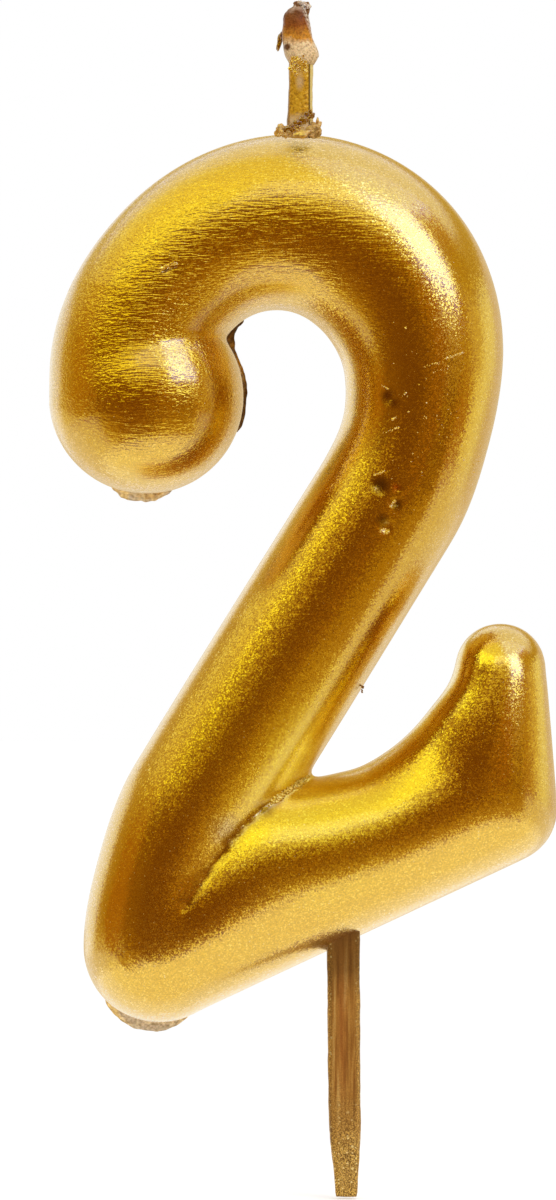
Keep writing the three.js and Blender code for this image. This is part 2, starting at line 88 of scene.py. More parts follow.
class Nodes:
    """Adds nodes to a tree and links them, with sockets given by name."""

    def __init__(self, tree):
        self.tree = tree
        tree.nodes.clear()

    def add(self, kind, inputs=None, **settings):
        node = self.tree.nodes.new(kind)
        for key, value in settings.items():
            setattr(node, key, value)
        for key, value in (inputs or {}).items():
            if isinstance(value, bpy.types.NodeSocket):
                self.tree.links.new(value, node.inputs[key])
            else:
                node.inputs[key].default_value = value
        return node

    def math(self, operation, a, b=0.5, clamp=False):
        node = self.add("ShaderNodeMath", {0: a, 1: b}, operation=operation)
        node.use_clamp = clamp
        return node.outputs[0]

    def times(self, a, b):
        return self.math("MULTIPLY", a, b)

    def plus(self, a, b, clamp=False):
        return self.math("ADD", a, b, clamp)

    def minus(self, a, b):
        return self.math("SUBTRACT", a, b)

    def parts(self, value):
        """The three parts of a place or of a colour."""
        return self.add("ShaderNodeSeparateXYZ", {0: value}).outputs

    def vector(self, operation, a, b=(0, 0, 0)):
        return self.add("ShaderNodeVectorMath", {0: a, 1: b}, operation=operation).outputs

    def ramp(self, factor, *stops):
        """A ramp through stops, each a position and a colour, or one number for a grey."""
        node = self.add("ShaderNodeValToRGB", {0: factor})
        elements = node.color_ramp.elements
        while len(elements) < len(stops):
            elements.new(0.5)
        for element, (position, colour) in zip(elements, stops):
            element.position = position
            element.color = (*colour, 1) if isinstance(colour, tuple) else (colour, colour, colour, 1)
        return node.outputs[0]

    def mix(self, factor, a, b, blend="MIX"):
        node = self.add("ShaderNodeMix", {0: factor, 6: a, 7: b}, data_type="RGBA", blend_type=blend)
        return node.outputs[2]


def seen_past_diffuse(nodes):
    """1 for the rays that show a surface as it is, and 0 for the ones that only carry its light."""
    path = nodes.add("ShaderNodeLightPath")
    seen = nodes.math("MAXIMUM", path.outputs["Is Camera Ray"], path.outputs["Is Glossy Ray"])
    return nodes.math("MAXIMUM", seen, path.outputs["Is Transmission Ray"])


PLAIN_LIGHT = 0.7
nodes = Nodes(world.node_tree)
plain = nodes.add("ShaderNodeBackground", {"Color": (1, 1, 1, 1), "Strength": PLAIN_LIGHT})
white = nodes.add("ShaderNodeBackground", {"Color": (1, 1, 1, 1)})
seen = seen_past_diffuse(nodes)
both = nodes.add("ShaderNodeMixShader", {0: seen, 1: plain.outputs[0], 2: white.outputs[0]})
nodes.add("ShaderNodeOutputWorld", {"Surface": both.outputs[0]})
print("world nodes:", len(world.node_tree.nodes))

# %% Paper for the floor and the cards
FLOOR_Z = -12.9 * MM


def new_material(name):
    material = bpy.data.materials.new(name)
    material.use_nodes = True
    return material, Nodes(material.node_tree)


def paper(name, shade, glow):
    """Paper that takes light and shadow, and glows a little in the rays that show it."""
    material, nodes = new_material(name)
    matt = nodes.add("ShaderNodeBsdfDiffuse", {"Color": (*shade, 1)})
    lit = nodes.add("ShaderNodeEmission", {"Color": (*glow, 1), "Strength": seen_past_diffuse(nodes)})
    both = nodes.add("ShaderNodeAddShader", {0: matt.outputs[0], 1: lit.outputs[0]})
    nodes.add("ShaderNodeOutputMaterial", {"Surface": both.outputs[0]})
    return material


def link(bm, name):
    mesh = bpy.data.meshes.new(name)
    bm.to_mesh(mesh)
    bm.free()
    obj = bpy.data.objects.new(name, mesh)
    bpy.context.collection.objects.link(obj)
    return obj


def stage_piece(bm, name, material, seen=True):
    obj = link(bm, name)
    obj.visible_camera = seen
    obj.visible_diffuse = seen
    obj.data.materials.append(material)


bm = bmesh.new()
bmesh.ops.create_grid(bm, x_segments=1, y_segments=1, size=2)
bmesh.ops.translate(bm, vec=(0, 0, FLOOR_Z), verts=bm.verts)
stage_piece(bm, "floor", paper("white_paper", (0.8, 0.8, 0.8), (0.48, 0.48, 0.48)))
print("floor height in mm:", FLOOR_Z / MM)


# %% Cards round the camera's side
def curved_card(name, card, profile, first, last):
    """A card bent round an upright axis. Degrees run to the right from the camera's side."""
    bm = bmesh.new()
    verts = [bm.verts.new((0, -out, height)) for out, height in profile]
    edges = [bm.edges.new(pair) for pair in zip(verts, verts[1:])]
    bmesh.ops.rotate(bm, verts=verts, matrix=Matrix.Rotation(math.radians(first), 3, "Z"))
    bmesh.ops.spin(
        bm, geom=verts + edges, cent=(0, 0, 0), axis=(0, 0, 1), angle=math.radians(last - first), steps=30,
    )
    stage_piece(bm, name, card, seen=False)


WALL_OUT = 0.9
CARD_FOOT = FLOOR_Z + MM


def wall_height(elevation):
    """Where a line of sight that leaves the candle's middle at an elevation meets the wall."""
    return PICTURE_CENTRE.z + WALL_OUT * math.tan(math.radians(elevation))


def wall(high, low=None):
    """An upright profile that reaches up to an elevation, from a lower one or from the floor."""
    return [(WALL_OUT, CARD_FOOT if low is None else wall_height(low)), (WALL_OUT, wall_height(high))]


CARD_SHADE = (0.03, 0.015, 0.004)
CEILING = [(WALL_OUT, wall_height(50)), (0.45, 1.3), (0.02, 1.35)]
NEAR_FLOOR = [(0.06, CARD_FOOT), (0.2, CARD_FOOT)]
FAR_FLOOR = [(0.2, CARD_FOOT), (WALL_OUT, CARD_FOOT)]
CARDS = {
    "umber": ((0.20, 0.08, 0.005), [(wall(14), -36, 2), (wall(18, 8), -62, -36), (FAR_FLOOR, -62, 56)]),
    "brown": ((0.32, 0.15, 0.007), [(NEAR_FLOOR, -40, 2), (wall(14), 2, 14), (wall(8), -62, -36)]),
    "sienna": (
        (0.46, 0.21, 0.014),
        [(wall(18), -98, -62), (wall(18, 14), -36, 2), (wall(14), 14, 25),
         (wall(15.5), 25, 32), (wall(15.5, 8), 32, 60), (wall(18, 8), 60, 70), (FAR_FLOOR, 56, 84)],
    ),
    "tawny": (
        (0.50, 0.30, 0.02),
        [(NEAR_FLOOR, -62, -40), (NEAR_FLOOR, 2, 62), (FAR_FLOOR, -95, -62), (wall(18), -122, -98)],
    ),
    "tan": (
        (0.58, 0.40, 0.06),
        [(wall(29, 18), -180, -24), (wall(34, 18), 60, 180), (wall(8), 32, 74), (wall(18, 14), 2, 25)],
    ),
    "sand": ((0.78, 0.66, 0.14), [(wall(29, 18), -24, 25)]),
    "buff": ((0.78, 0.64, 0.26), [(wall(18, 8), 70, 74), (wall(18), 74, 98), (FAR_FLOOR, -122, -95)]),
    "parchment": ((1.0, 0.98, 0.55), [(FAR_FLOOR, 84, 118), (wall(18), 98, 130)]),
    "russet": ((0.62, 0.36, 0.07), [(wall(46, 34), 60, 100)]),
    "straw": ((1.58, 1.70, 0.33), [(wall(50, 29), -68, -12)]),
    "honey": ((1.08, 1.03, 0.38), [(CEILING, -124, 20), (wall(50, 29), -124, -68)]),
    "ivory": ((1.15, 1.30, 2.4), [(CEILING, 20, 104)]),
    "cream": ((1.42, 1.56, 1.46), [(wall(50, 29), -12, 25)]),
    "milk": ((1.36, 1.75, 4.6), [(wall(50, 46), 25, 104)]),
    "pale": ((2.10, 2.80, 6.9), [(wall(46, 15.5), 25, 60)]),
    "chalk": ((0.88, 0.82, 0.70), [(NEAR_FLOOR, 62, 298)]),
    "clay": ((0.74, 0.62, 0.42), [(FAR_FLOOR, 118, 205), (wall(18), 130, 190)]),
}
for card, (glow, places) in CARDS.items():
    material = paper(f"{card}_card", CARD_SHADE, glow)
    for number, (profile, first, last) in enumerate(places):
        curved_card(f"card_{card}_{number}", material, profile, first, last)
print("cards:", ", ".join(CARDS))

# %% Lamp
# A square panel that reflections don't show. Its power is worked out from how bright its face looks.
LAMP_SIDE = 0.4
LAMP_RADIANCE = 3.0
lamp = bpy.data.lights.new("fill", "AREA")
lamp.size = LAMP_SIDE
lamp.energy = LAMP_RADIANCE * math.pi * LAMP_SIDE**2
fill = bpy.data.objects.new("fill", lamp)
bpy.context.collection.objects.link(fill)
fill.location = (0.35, -0.50, 0.50)
fill.rotation_euler = (fill.location - PICTURE_CENTRE).to_track_quat("Z", "Y").to_euler()
fill.visible_camera = False
fill.visible_glossy = False
print("lamp watts:", round(lamp.energy, 2))

# %% [markdown]
# ## Middle lines
# The digit is two strokes. The long one climbs from the heel, leans over as the diagonal, turns over the
# crown and ends in a ball. The short one runs from the heel along the foot and turns up into the toe.
# Each follows a middle line of straight legs and arcs, which a small pen walks along.


# %% A pen that walks legs and arcs
def ahead(angle):
    return Vector((math.cos(angle), math.sin(angle)))


def walk(start, heading, legs, spacing=0.6):
    """Stops along a line as (point, heading, distance). A leg is (radius, degrees) or (length, None)."""
    point = Vector(start)
    angle = math.radians(heading)
    distance = 0
    stops = [(point.copy(), angle, distance)]
    for size, degrees in legs:
        length = size if degrees is None else size * abs(math.radians(degrees))
        count = max(1, round(length / spacing))
        turn = 0 if degrees is None else math.radians(degrees) / count
        chord = length / count if turn == 0 else 2 * size * math.sin(abs(turn) / 2)
        for _ in range(count):
            point = point + chord * ahead(angle + turn / 2)
            angle += turn
            distance += length / count
            stops.append((point.copy(), angle, distance))
    return stops


def eased(stops, at):
    """A smooth curve through stops, each a distance and a value. It is level at both ends."""
    if at <= stops[0][0]:
        return stops[0][1]
    if at >= stops[-1][0]:
        return stops[-1][1]
    slopes = [(v2 - v0) / (d2 - d0) for (d0, v0), (d2, v2) in zip(stops, stops[2:])]
    slopes = [0, *slopes, 0]
    k = next(i for i, stop in enumerate(stops) if stop[0] > at)
    (d0, v0), (d1, v1) = stops[k - 1], stops[k]
    span = d1 - d0
    t = (at - d0) / span
    return (
        v0 * (1 + 2 * t) * (1 - t) ** 2
        + v1 * (3 - 2 * t) * t * t
        + slopes[k - 1] * span * t * (1 - t) ** 2
        - slopes[k] * span * t * t * (1 - t)
    )


HEEL = (-14.4, 6.6)
LONG_LEGS = [(21, -31.8), (27.3, None), (20.3, 31.8), (12.5, 30), (10.5, 60), (11.1, 103)]
long_line = walk(HEEL, 90, LONG_LEGS)
ball_centre, _, long_length = long_line[-1]
print("long stroke in mm:", round(long_length, 1), "ball at", [round(v, 2) for v in ball_centre])

# %% [markdown]
# ## Section of a stroke
# The mould is open at the back, so the section is flat behind, rounded at its back edge, upright for a
# short way and then domed in front. It is drawn once, at a half-width and a depth of one, and each stop
# along the line stretches its own copy. The dome is a superellipse: an ellipse with squarer shoulders.

# %% Section points
BACK = 5.0
DOME_SIDE = 2.15
DOME_TOP = 2.05
EDGE = 0.1
WALL = 0.33


def dome(share):
    """How far forward of the back plane the dome stands, as a share of its depth."""
    lift = max(0.0, 1 - share**DOME_SIDE) ** (1 / DOME_TOP)
    return WALL + (1 - WALL) * lift


def half_section(steps=22):
    """From the front of the dome round to the middle of the back, as (across, depth)."""
    shares = [math.sin(math.pi / 2 * k / steps) for k in range(steps + 1)]
    front = [(across, dome(across)) for across in shares]
    edge = [(1 - EDGE * (1 - math.cos(a)), EDGE * (1 - math.sin(a))) for a in (0.5, 1.0, 1.57)]
    return front + edge + [(0.5, 0), (0, 0)]


print("points in the half section:", len(half_section()))


# %% A stroke extruded stop by stop
def stop_matrix(point, heading, left, right, depth):
    """Takes the unit section to its place: x across, y depth and z along the line."""
    aside = Vector((math.sin(heading), -math.cos(heading)))
    along = ahead(heading)
    centre = point + aside * (right - left) / 2
    half = (left + right) / 2
    return Matrix((
        (aside.x * half, 0, along.x, centre.x),
        (0, -depth, 0, BACK),
        (aside.y * half, 0, along.y, centre.y),
        (0, 0, 0, 1),
    ))


def extrude_through(bm, loop, matrices):
    """Closes a loop of edges that lies at the first matrix, and extrudes it through the others."""
    bmesh.ops.contextual_create(bm, geom=loop)
    for before, after in zip(matrices, matrices[1:]):
        grown = bmesh.ops.extrude_edge_only(bm, edges=loop)["geom"]
        fresh = {item for item in grown if isinstance(item, bmesh.types.BMVert)}
        loop = [e for e in grown if isinstance(e, bmesh.types.BMEdge) and fresh.issuperset(e.verts)]
        bmesh.ops.transform(bm, matrix=after @ before.inverted(), verts=list(fresh))
    bmesh.ops.contextual_create(bm, geom=loop)


def stroke(line, section_at):
    bm = bmesh.new()
    half = half_section()
    outline = half + [(-across, deep) for across, deep in half[-2:0:-1]]
    matrices = [stop_matrix(point, heading, *section_at(d)) for point, heading, d in line]
    ring = [bm.verts.new(matrices[0] @ Vector((across, deep, 0))) for across, deep in outline]
    loop = [bm.edges.new((a, b)) for a, b in zip(ring, ring[1:] + ring[:1])]
    extrude_through(bm, loop, matrices)
    return bm


def round_end(centre, radius, depth):
    """A button of wax: the half section spun all the way round."""
    bm = bmesh.new()
    place = stop_matrix(Vector(centre), 0, radius, radius, depth)
    verts = [bm.verts.new(place @ Vector((across, deep, 0))) for across, deep in half_section()]
    edges = [bm.edges.new(pair) for pair in zip(verts, verts[1:])]
    bmesh.ops.spin(
        bm, geom=verts + edges, cent=(centre[0], 0, centre[1]), axis=(0, 1, 0),
        angle=2 * math.pi, steps=72, use_merge=True,
    )
    bmesh.ops.remove_doubles(bm, verts=bm.verts, dist=1e-4)
    return bm


LONG_HALF = [(0, 5.9), (5.8, 5.65), (11.7, 5.95), (40, 5.9), (46, 5.8), (57.5, 6.95), (65, 7.0), (77, 6.3)]
LONG_INNER = [*LONG_HALF, (long_length, 5.6)]
LONG_OUTER = [*LONG_HALF, (long_length, 7.4)]
LONG_DEPTH = [(0, 10), (45, 10), (60, 10.2), (75, 10.1), (long_length, 10.3)]


def long_section(distance):
    return tuple(eased(stops, distance) for stops in (LONG_INNER, LONG_OUTER, LONG_DEPTH))


long_stroke = stroke(long_line, long_section)
print("long stroke faces:", len(long_stroke.faces))

# %% [markdown]
# ## Foot and toe
# The foot's underside and the toe's outer edge are nearly straight and meet in a rounded corner, while
# the inner side curves smoothly up. So the outer half-width is measured from the middle line out to
# those two edges, and the inner one is eased between stops.

# %% The short stroke
FOOT_RISE = 25
FOOT_LEGS = [(18.75, None), (16.6, 56), (1.35, None)]
short_line = walk(HEEL, FOOT_RISE, FOOT_LEGS)
toe_tip = short_line[-1][0]


def edge_beyond(point, out_degrees, gap):
    """A straight edge that lies a gap beyond a point: its outward direction and its reach."""
    out = ahead(math.radians(out_degrees))
    return out, point.dot(out) + gap


underside = edge_beyond(Vector(HEEL), FOOT_RISE - 90, 5.85)
toe_edge = edge_beyond(toe_tip, 5, 3.5)
CORNER = 4.2


def corner_centre():
    (a, reach_a), (b, reach_b) = underside, toe_edge
    cross = a.x * b.y - a.y * b.x
    ra, rb = reach_a - CORNER, reach_b - CORNER
    return Vector(((ra * b.y - rb * a.y) / cross, (rb * a.x - ra * b.x) / cross))


def reach_out(point, aside):
    """From a point of the middle line out to the underside, the corner or the toe's edge."""
    reaches = [(reach - point.dot(out)) / max(aside.dot(out), 1e-6) for out, reach in (underside, toe_edge)]
    nearest = min(r for r in reaches if r > 0)
    out = underside[0] if nearest == reaches[0] else toe_edge[0]
    towards = Vector((-out.y, out.x)) if out is underside[0] else Vector((out.y, -out.x))
    centre = corner_centre()
    if (point + aside * nearest - centre).dot(towards) <= 0:
        return nearest
    to_centre = centre - point
    along = to_centre.dot(aside)
    return along + math.sqrt(along**2 - to_centre.length_squared + CORNER**2)


SHORT_INNER = [
    (0, 5.85), (4, 6.6), (8, 8.2), (11.5, 8.6), (15.6, 7.1), (19.5, 6.2), (25, 5.6), (31, 4.7), (36.3, 3.5),
]
SHORT_DEPTH = [(0, 10), (10, 10), (24, 9.4), (36.3, 9.3)]


def short_section(distance):
    point, heading, _ = min(short_line, key=lambda stop: abs(stop[2] - distance))
    aside = Vector((math.sin(heading), -math.cos(heading)))
    return eased(SHORT_INNER, distance), reach_out(point, aside), eased(SHORT_DEPTH, distance)


short_stroke = stroke(short_line, short_section)
print("toe tip at", [round(v, 2) for v in toe_tip])

# %% [markdown]
# ## One body of wax
# The strokes and their round ends overlap. A voxel remesh melts them into one skin, which leaves a soft
# valley where the foot meets the long stroke, as the mould does. A few rounds of smoothing take away
# the voxels' steps, and more rounds soften the joins at the ball and the heel. The toe is taller at its
# sides and flatter in front than the rest, and leans back towards its tip, so it is reshaped after that.


# %% Join and remesh
def gathered(parts):
    """Several bmeshes as one."""
    whole = bmesh.new()
    for part in parts:
        scrap = bpy.data.meshes.new("scrap")
        part.to_mesh(scrap)
        part.free()
        whole.from_mesh(scrap)
        bpy.data.meshes.remove(scrap)
    return whole


def melted(parts, voxel):
    """One bmesh from the outer skin of several overlapping ones. Sizes in millimetres."""
    for part in parts:
        bmesh.ops.triangulate(part, faces=part.faces)
        bmesh.ops.recalc_face_normals(part, faces=part.faces)
    obj = link(gathered(parts), "melting")
    remesh = obj.modifiers.new("remesh", "REMESH")
    remesh.mode = "VOXEL"
    remesh.voxel_size = voxel
    bpy.context.view_layer.update()
    result = bmesh.new()
    result.from_object(obj, bpy.context.evaluated_depsgraph_get())
    scrap = obj.data
    bpy.data.objects.remove(obj)
    bpy.data.meshes.remove(scrap)
    return result


ends = [round_end(HEEL, 5.9, 10), round_end(ball_centre, 7.6, 11.0), round_end(toe_tip, 3.5, 9.3)]
wax = melted([long_stroke, short_stroke, *ends], voxel=0.27)
FRONT_LIMIT = 2


def softened(bm, verts, rounds):
    axes = {"use_axis_x": True, "use_axis_y": True, "use_axis_z": True}
    for _ in range(rounds):
        bmesh.ops.smooth_vert(bm, verts=verts, factor=0.5, **axes)


def gap_to(vert, centre):
    """How far a vertex lies from a point of the picture."""
    return (Vector((vert.co.x, vert.co.z)) - Vector(centre)).length


def in_front_near(bm, centre, radius):
    """The vertices of the dome, clear of the flat back, within a radius of a point of the picture."""
    return [vert for vert in bm.verts if vert.co.y < FRONT_LIMIT and gap_to(vert, centre) < radius]


softened(wax, wax.verts, 10)
softened(wax, in_front_near(wax, ball_centre + Vector((-4.5, 3.5)), 5), 30)
softened(wax, in_front_near(wax, Vector(HEEL) + Vector((0.5, 2)), 4.5), 30)
print("wax vertices:", len(wax.verts))

# %% Shape the toe
GAP_PLACE = (6, 30)
GAP_LEAN = 0.42


def toe_verts(bm):
    """The vertices right of a slanted line that runs up the gap between the diagonal and the toe."""
    x, z = GAP_PLACE
    return [vert for vert in bm.verts if vert.co.x > x + GAP_LEAN * (vert.co.z - z)]


def squatter(verts, centre, near, far, top, wall_before, wall_after):
    """Near a point of the picture, makes the upright side taller and the dome on it lower."""
    for vert in verts:
        weight = min(1.0, max(0.0, (far - gap_to(vert, centre)) / (far - near)))
        weight = weight * weight * (3 - 2 * weight)
        depth = BACK - vert.co.y
        if depth < wall_before:
            after = depth * wall_after / wall_before
        else:
            after = wall_after + (depth - wall_before) * (top - wall_after) / (top - wall_before)
        vert.co.y = BACK - depth - (after - depth) * weight


def leaned_back(verts, tip, heading, length, bend):
    """Bends the front of a stroke's end back, more and more from a length before its tip."""
    for vert in verts:
        run = (Vector((vert.co.x, vert.co.z)) - Vector(tip)).dot(ahead(math.radians(heading))) + length
        if run > 0:
            vert.co.y += bend * run**2 * (BACK - vert.co.y) / BACK / 2


squatter(toe_verts(wax), toe_tip, near=3, far=15, top=9.3, wall_before=3.07, wall_after=5.0)
leaned_back(toe_verts(wax), toe_tip, heading=81, length=8.3, bend=0.011)
print("toe vertices:", len(toe_verts(wax)))

# %% [markdown]
# ## Pits
# Bubbles in the wax leave small round pits, and the fold in front of the crease sinks into a shallow
# groove. Each pit is a dent that pushes the front back in a smooth bowl, and the groove is a row of them.
# A dent is given by its place in the picture, its radius and its depth.

# %% Pits in the wax
PITS = [
    (2.55, 42.5, 0.6, 0.12), (2.9, 42.0, 0.4, 0.1), (3.85, 41.15, 0.5, 0.2), (3.2, 39.25, 0.6, 0.24),
    (3.5, 49.2, 0.6, 0.1), (-10.2, 5.5, 0.9, 0.2), (4.1, 42.3, 0.5, 0.12), (-13.6, 59.3, 0.8, 0.1),
]


def dented(bm, x, z, radius, depth):
    """Pushes the dome back in a round pit."""
    for vert in bm.verts:
        gap = math.hypot(vert.co.x - x, vert.co.z - z) / radius
        if gap < 1 and vert.co.y < FRONT_LIMIT:
            vert.co.y += depth * (1 - gap**2) ** 2


GROOVE = [(-9.3 - 0.2 * k, 14.2 - 0.29 * k, 0.55, 0.09 - 0.003 * k) for k in range(16)]
for dent in PITS + GROOVE:
    dented(wax, *dent)
print("dents:", len(PITS + GROOVE))


# %% Wax as a piece
def finished(bm, name, slot, *nodes):
    bmesh.ops.recalc_face_normals(bm, faces=bm.faces)
    for face in bm.faces:
        face.smooth = True
    bmesh.ops.scale(bm, vec=(MM, MM, MM), verts=bm.verts)
    obj = link(bm, name)
    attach(obj, "root")
    if nodes:
        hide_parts(*nodes)
    return obj


digit = finished(wax, "digit", "gilded_wax", "wax_digit")
print("digit size in mm:", [round(v / MM, 1) for v in digit.dimensions])

# %% [markdown]
# ## Pick
# The pick is a flat stick of split wood, pushed into the foot before the wax set. Its sides are never
# quite straight, so it is extruded upwards through a column of slightly different rings, from the square
# cut end to the part that is hidden in the wax.


# %% A column of rings, and a rough skin
def column(rows, sides=32, squareness=2.0):
    """Extrudes a ring upwards. Each row is (height, x, half-width, half-depth), in millimetres."""
    bm = bmesh.new()
    ring = bmesh.ops.create_circle(bm, segments=sides, radius=1)["verts"]
    for vert in ring:
        for axis in (0, 1):
            vert.co[axis] = math.copysign(abs(vert.co[axis]) ** (2 / squareness), vert.co[axis])
    matrices = [Matrix.Translation((x, 0, z)) @ Matrix.Diagonal((w, d, 1, 1)) for z, x, w, d in rows]
    loop = list({edge for vert in ring for edge in vert.link_edges})
    bmesh.ops.transform(bm, matrix=matrices[0], verts=ring)
    extrude_through(bm, loop, matrices)
    return bm


def roughened(bm, grain, amount, seed=0.0):
    """Pushes each vertex in or out by a noise whose lumps are about a grain across."""
    bm.normal_update()
    for vert in bm.verts:
        vert.co += vert.normal * amount * noise.noise(vert.co / grain + Vector((seed, seed, seed)))


def rows_between(stops, steps, middle=0.0):
    """Fills in the rows of a column between a few of them, whose x is counted from the column's middle."""
    low, high = stops[0][0], stops[-1][0]
    heights = [low + (high - low) * k / steps for k in range(steps + 1)]
    asides, widths, depths = ([(row[0], row[k]) for row in stops] for k in (1, 2, 3))
    return [(z, middle + eased(asides, z), eased(widths, z), eased(depths, z)) for z in heights]


PICK_STOPS = [
    (-12.7, 0.17, 0.80, 0.80), (-12.5, 0.17, 0.86, 0.88), (-11.0, 0.16, 0.94, 0.92), (-8.0, 0.09, 1.19, 0.95),
    (-4.6, 0.02, 1.25, 0.95), (-0.2, 0.0, 1.26, 0.95), (5.1, -0.05, 1.27, 0.95), (16.2, 0, 1.29, 0.94),
]
pick_bm = column(rows_between(PICK_STOPS, 90), sides=40, squareness=5.5)
roughened(pick_bm, 1.6, 0.05, 3.0)
roughened(pick_bm, 0.35, 0.025, 5.0)
pick = finished(pick_bm, "pick_stick", "gilded_wood", "pick")
print("pick faces:", len(pick.data.polygons))

# %% [markdown]
# ## Waxed wick
# The wick stands out of the crown as a stiff flat shaft of waxed cotton, and ends in a lump where the
# wax dripped and was cut. Both are columns of rings with their measured lean, roughened a little.

# %% Shaft and lump
WICK_X = -3.4
SHAFT_STOPS = [
    (69.4, 0, 1.0, 0.95), (70.9, -0.02, 1.02, 0.95), (71.8, 0, 0.96, 0.92), (73.4, 0.03, 0.93, 0.9),
    (74.9, 0.06, 0.95, 0.92), (75.5, 0.08, 0.9, 0.88),
]
shaft_bm = column(rows_between(SHAFT_STOPS, 30, WICK_X), sides=36, squareness=2.7)
roughened(shaft_bm, 0.5, 0.05, 2.0)
shaft = finished(shaft_bm, "wick_shaft", "gilded_wax", "wick_sleeve")

LUMP_STOPS = [
    (74.9, 0.05, 0.70, 0.68), (75.15, 0.08, 0.92, 0.88), (75.5, 0.12, 1.12, 1.05), (75.9, 0.12, 1.30, 1.12),
    (76.3, 0.02, 1.31, 1.12), (77.0, -0.15, 1.22, 1.08), (78.1, -0.27, 1.10, 1.0), (79.0, -0.28, 0.98, 0.9),
    (79.4, -0.22, 0.82, 0.78), (79.65, -0.15, 0.62, 0.6), (79.8, -0.1, 0.38, 0.4),
]
lump_bm = column(rows_between(LUMP_STOPS, 60, WICK_X), sides=44, squareness=2.1)
roughened(lump_bm, 1.1, 0.08, 4.0)
roughened(lump_bm, 0.3, 0.035, 7.0)
lump = finished(lump_bm, "wick_lump", "bare_wax", "wick_tip_bead")
print("shaft and lump faces:", len(shaft.data.polygons), len(lump.data.polygons))

# %% [markdown]
# ## Crumbs of lacquer
# Where the wick leaves the crown, and here and there on the wax, lacquer and wax have dried in crumbs
# and flakes. Each is a small ball of triangles, stretched, turned and made lumpy.


# %% Crumbs
def crumb(place, size, seed, turn=0.0, lumps=0.45):
    """One crumb. The turn is in degrees, clockwise as seen from the front."""
    bm = bmesh.new()
    bmesh.ops.create_icosphere(bm, subdivisions=3, radius=0.5)
    roughened(bm, 0.45, lumps, seed)
    turned = Matrix.Translation(place) @ Matrix.Rotation(math.radians(turn), 4, "Y")
    bmesh.ops.transform(bm, matrix=turned @ Matrix.Diagonal((*size, 1)), verts=bm.verts)
    return bm


def front_of(piece, x, z):
    """The point of a piece that the camera sees at a place in the picture, in millimetres."""
    sight = Vector((x, 0, z)) * MM - camera.location
    hit, place, *_ = piece.ray_cast(camera.location, sight.normalized())
    return place / MM if hit else Vector((x, 0, z))


dice = random.Random(7)
collar_gold = [
    crumb((WICK_X - 1.55, -0.3, 70.1), (0.95, 0.9, 0.85), 1, -12, 0.35),
    crumb((WICK_X - 1.0, -0.7, 69.85), (0.9, 0.8, 0.6), 2, 8, 0.35),
    crumb((WICK_X + 0.95, -0.6, 70.1), (1.3, 0.9, 1.1), 3, 30, 0.35),
    crumb((WICK_X + 1.3, -0.5, 70.35), (0.5, 0.6, 1.3), 4, 10, 0.35),
    crumb((WICK_X + 0.25, -1.0, 69.8), (1.5, 0.7, 0.7), 5, -8, 0.35),
    crumb((WICK_X + 0.5, 0.7, 70.1), (1.6, 0.9, 0.8), 6, 0),
    crumb((WICK_X - 0.8, 0.6, 70.1), (1.4, 0.9, 0.7), 7, 10),
]
for _ in range(34):
    aside = dice.uniform(-1.7, 1.5)
    place = (WICK_X + aside, dice.uniform(-1.1, -0.6), 69.6 + 0.75 * dice.random())
    size = dice.uniform(0.16, 0.4)
    collar_gold.append(crumb(place, (size, size, size), dice.uniform(0, 50)))
collar_brown = [
    crumb((WICK_X - 0.9 + 0.34 * k, -1.05, 70.1 + 0.22 * k), (0.6, 0.5, 0.5), 10 + k, -38, 0.6)
    for k in range(6)
]
for _ in range(14):
    share = dice.random()
    place = (WICK_X - 0.95 + 1.8 * share, -1.2, 70.1 + 1.2 * share + dice.uniform(-0.25, 0.25))
    size = dice.uniform(0.16, 0.34)
    collar_brown.append(crumb(place, (size, size, size), dice.uniform(0, 50)))
collar = finished(gathered(collar_gold), "wick_collar_crumbs", "flaked_gold", "wick_collar")

collar_brown.append(crumb((WICK_X - 1.62, -0.1, 77.1), (0.36, 0.5, 1.35), 30, 14))
tip_crumbs = []
for _ in range(54):
    z = dice.triangular(74.4, 76.0, 75.4)
    aside = dice.uniform(-0.75, 0.45)
    size = dice.uniform(0.14, 0.34)
    place = min((front_of(piece, WICK_X + aside, z) for piece in (shaft, lump)), key=lambda point: point.y)
    tip_crumbs.append(crumb(place, (size, size * 0.8, size), dice.uniform(0, 50)))
lump_grains = []
for _ in range(16):
    aside = dice.uniform(-0.55, 0.75)
    place = (WICK_X + aside, dice.uniform(-0.5, 0.3), 79.7 - 0.3 * abs(aside) + 0.35 * dice.random())
    size = dice.uniform(0.24, 0.4)
    lump_grains.append(crumb(place, (size, size, size), dice.uniform(0, 50)))
lump_grains = finished(gathered(lump_grains), "wick_lump_grains", "bare_wax")
streak = finished(gathered(collar_brown), "wick_collar_streak", "flaked_gold")
flakes = finished(gathered(tip_crumbs), "wick_flakes", "flaked_gold")
print("crumbs:", len(collar_gold) + len(collar_brown) + len(tip_crumbs))

# %% [markdown]
# ## Marks on the lacquer
# A candle that has been handled is scratched and chipped. The marks are real grains of lacquer, not
# paint: a ray from the camera finds the wax behind each mark's place in the picture, and crumbs are set
# down there in lines, with a little jitter. A row of dark grains under the chip on the ball is painted
# shade for the chip. The crease between the diagonal and the foot holds a crinkled bead of lacquer in
# its upper part, with larger crumbs along its rim.


# %% Grains along a line on the wax
def grains(start, end, count, size, jitter, length=1.0):
    """Crumbs from one place of the picture to another, laid along the line between them."""
    start, end = Vector(start), Vector(end)
    lean = math.degrees(math.atan2(end.y - start.y, end.x - start.x))
    row = []
    for k in range(count):
        drift = Vector((dice.uniform(-jitter, jitter), dice.uniform(-jitter, jitter)))
        mark = start.lerp(end, (k + 0.5) / count) + drift
        bulk = size * dice.uniform(0.6, 1.3)
        shape = (bulk * length, bulk * 0.7, bulk)
        row.append(crumb(front_of(digit, *mark), shape, dice.uniform(0, 50), -lean))
    return row


